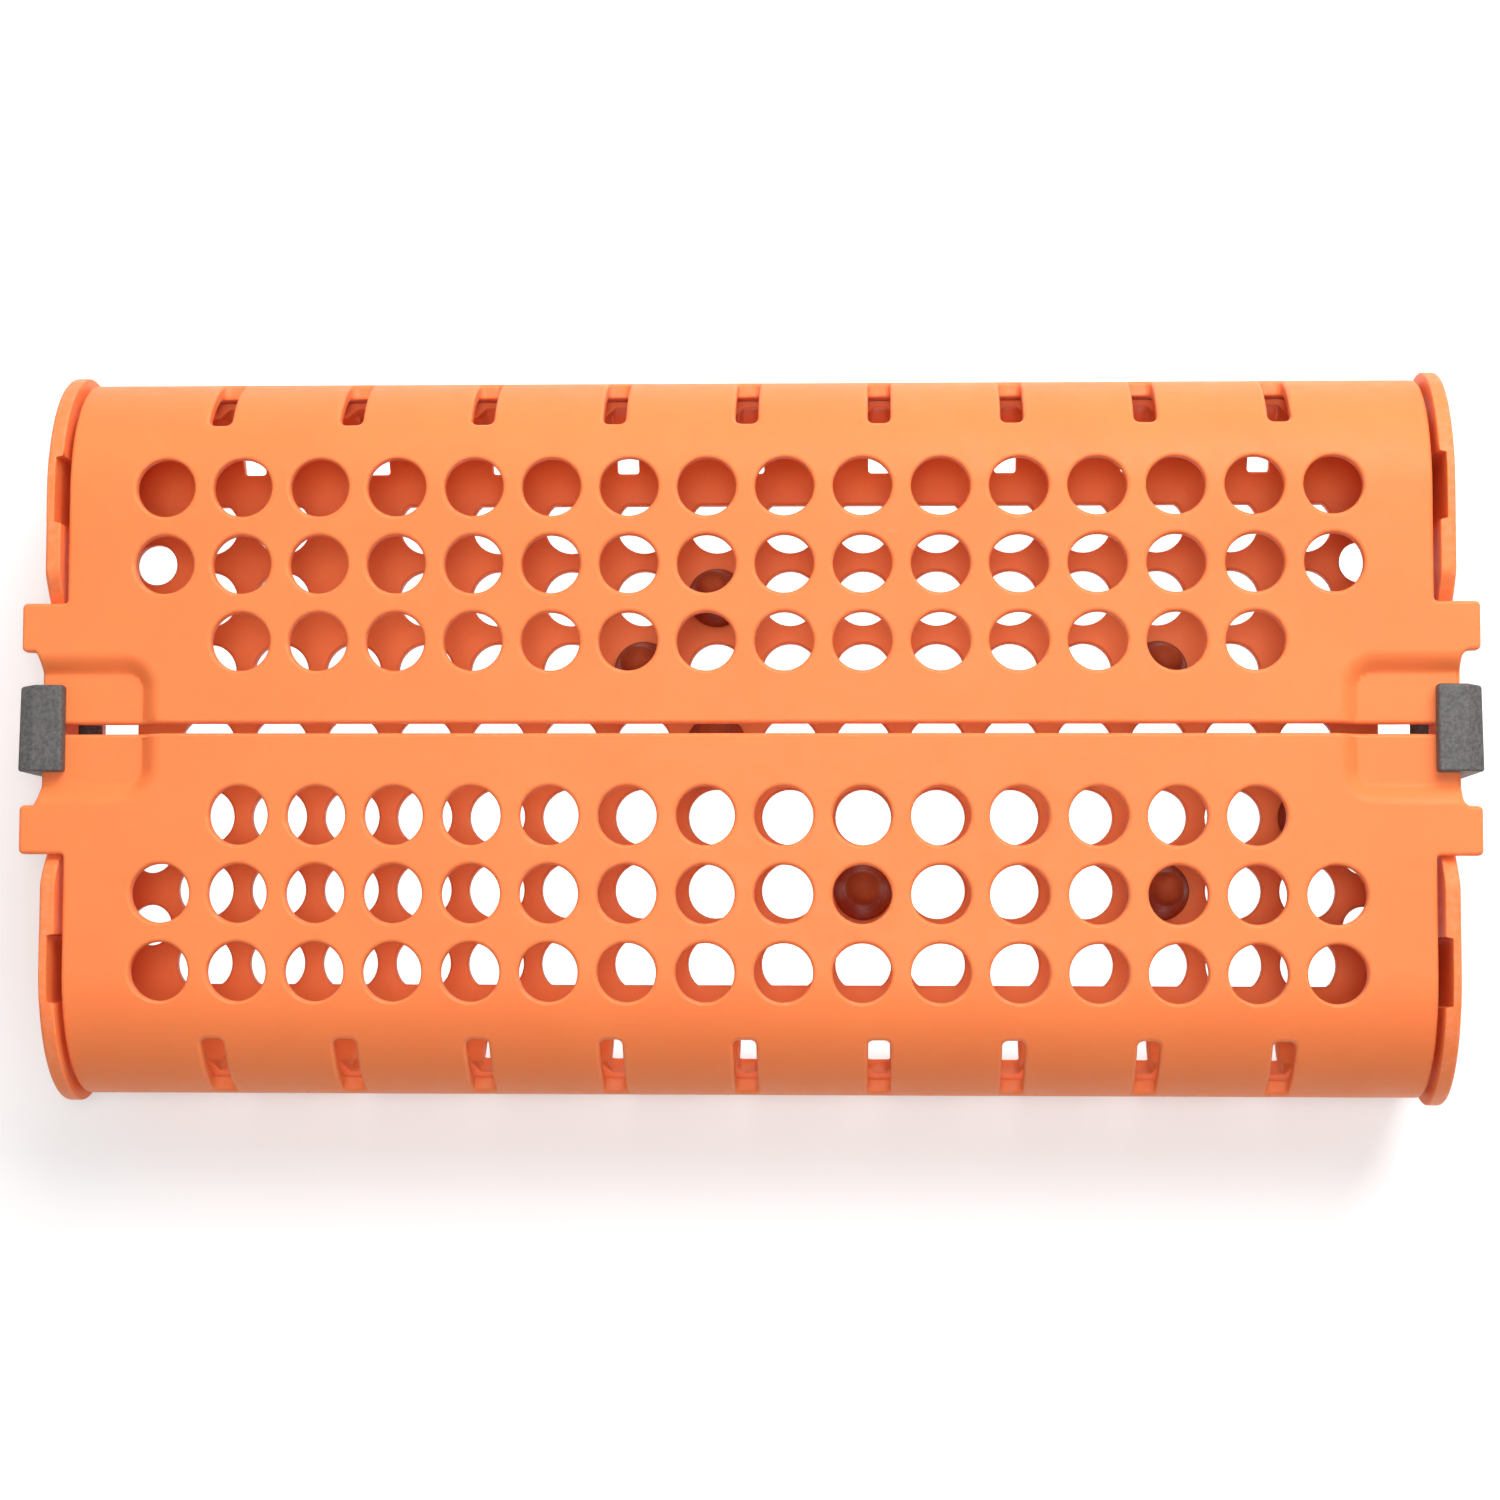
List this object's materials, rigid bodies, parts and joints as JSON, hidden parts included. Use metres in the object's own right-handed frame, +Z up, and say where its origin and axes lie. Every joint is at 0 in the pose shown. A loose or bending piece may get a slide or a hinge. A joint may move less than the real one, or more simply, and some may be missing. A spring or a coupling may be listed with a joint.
{
  "type": "dental instrument cassette",
  "caption": "Long perforated cassette for dental hand instruments: a tub on two end plates, a pair of roll-over doors, a hook latch at each end and movable posts inside.",
  "frame": {"origin": "middle of the base, on the plane that the end plates stand on", "axes": "+X along the cassette to its right end as pictured, +Y to the rear door, +Z up"},
  "size_m": [0.2054, 0.106, 0.038],
  "materials": {
    "orange_plastic": "satin",
    "grey_plastic": "satin",
    "post_rubber": "matt",
    "steel": "satin"
  },
  "bodies": {
    "base": {"tub": "orange_plastic", "latch_pin_right": "steel", "latch_pin_left": "steel", "post_1": "post_rubber", "post_2": "post_rubber", "post_3": "post_rubber", "post_4": "post_rubber", "post_5": "post_rubber", "post_6": "post_rubber", "post_7": "post_rubber"},
    "door_rear": {"door_rear": "orange_plastic"},
    "door_front": {"door_front": "orange_plastic"},
    "latch_right": {"latch_right": "grey_plastic"},
    "latch_left": {"latch_left": "grey_plastic"}
  },
  "joints": [
    {"name": "door_rear_hinge", "type": "hinge", "parent": "base", "child": "door_rear", "pos_m": [0, 0.034, 0.019], "axis": [-1, 0, 0], "range_deg": [0, 90]},
    {"name": "door_front_hinge", "type": "hinge", "parent": "base", "child": "door_front", "pos_m": [0, -0.034, 0.019], "axis": [1, 0, 0], "range_deg": [0, 90]},
    {"name": "latch_right_hinge", "type": "hinge", "parent": "base", "child": "latch_right", "pos_m": [0.0982, 0, 0.0155], "axis": [0, 1, 0], "range_deg": [0, 75]},
    {"name": "latch_left_hinge", "type": "hinge", "parent": "base", "child": "latch_left", "pos_m": [-0.0982, 0, 0.0155], "axis": [0, -1, 0], "range_deg": [0, 75]}
  ]
}
